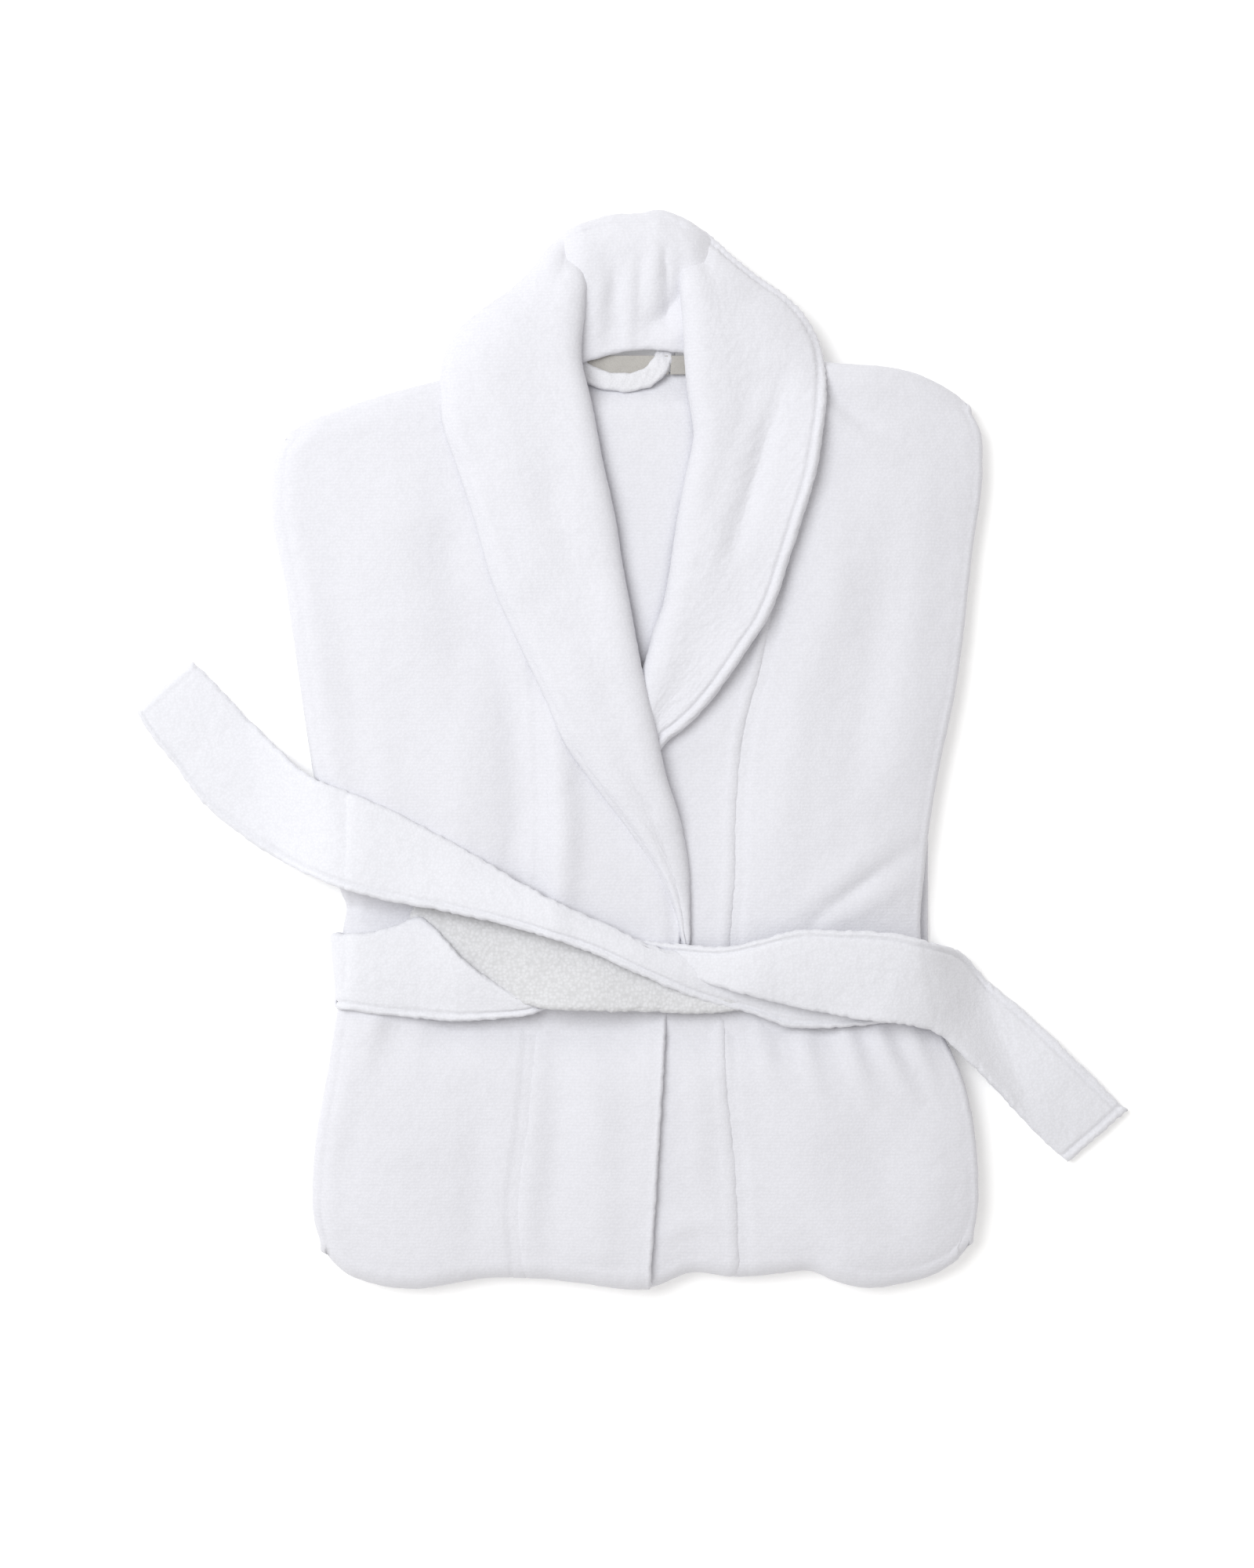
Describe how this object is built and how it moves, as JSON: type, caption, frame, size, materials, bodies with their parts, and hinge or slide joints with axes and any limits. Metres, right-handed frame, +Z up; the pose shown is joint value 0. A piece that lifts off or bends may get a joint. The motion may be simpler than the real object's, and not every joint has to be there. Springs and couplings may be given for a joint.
{
  "type": "bathrobe",
  "caption": "White terry shawl-collar bathrobe folded flat, front up, belt tied in a loose half knot, hang loop at the neck.",
  "frame": {"origin": "centre of the footprint, on the table the folded robe lies on", "axes": "+Z up through the stack of folded plies, +Y towards the neck, +X towards the wearer's left"},
  "size_m": [0.6999, 0.7552, 0.0447],
  "materials": {
    "white_terry": "matte",
    "belt_terry": "matte",
    "terry_tape": "matte",
    "label_cloth": "matte"
  },
  "bodies": {
    "torso": {"back_fold": "white_terry", "back_panel": "white_terry", "belt_back": "belt_terry", "belt_over_left": "belt_terry", "belt_over_right": "belt_terry", "belt_waist_left": "belt_terry", "belt_waist_right": "belt_terry", "collar_back": "white_terry", "left_belt_loop": "terry_tape", "left_belt_turn": "belt_terry", "left_cuff": "white_terry", "left_front_band": "white_terry", "left_front_fold": "white_terry", "left_front_panel": "white_terry", "left_lapel": "white_terry", "left_lower_side_fold": "white_terry", "left_sleeve": "white_terry", "left_upper_side_fold": "white_terry", "neck_label": "label_cloth", "neck_tape": "terry_tape", "right_belt_loop": "terry_tape", "right_belt_turn": "belt_terry", "right_cuff": "white_terry", "right_front_band": "white_terry", "right_front_fold": "white_terry", "right_front_panel": "white_terry", "right_lapel": "white_terry", "right_lower_side_fold": "white_terry", "right_sleeve": "white_terry", "right_upper_side_fold": "white_terry"},
    "skirt": {"right_front_skirt": "white_terry", "right_skirt_band": "white_terry", "left_front_skirt": "white_terry", "back_skirt": "white_terry"},
    "right_tail": {"belt_right_tail": "belt_terry"},
    "left_tail": {"belt_left_tail": "belt_terry"},
    "loop": {"hang_loop": "terry_tape"}
  },
  "joints": [
    {"name": "skirt_unfold", "type": "hinge", "parent": "torso", "child": "skirt", "pos_m": [0, -0.378, 0.00455], "axis": [-1, 0, 0], "range_deg": [0, 180]},
    {"name": "right_tail_lift", "type": "hinge", "parent": "torso", "child": "right_tail", "pos_m": [-0.22996, -0.0499, 0.0417], "axis": [0.6924, 0.7215, 0], "range_deg": [0, 90]},
    {"name": "left_tail_lift", "type": "hinge", "parent": "torso", "child": "left_tail", "pos_m": [0.22304, -0.1701, 0.0417], "axis": [-0.6836, -0.7299, 0], "range_deg": [0, 90]},
    {"name": "loop_flip", "type": "hinge", "parent": "torso", "child": "loop", "pos_m": [-0.0037, 0.27254, 0.027], "axis": [-0.9863, -0.1647, 0], "range_deg": [0, 120]}
  ]
}
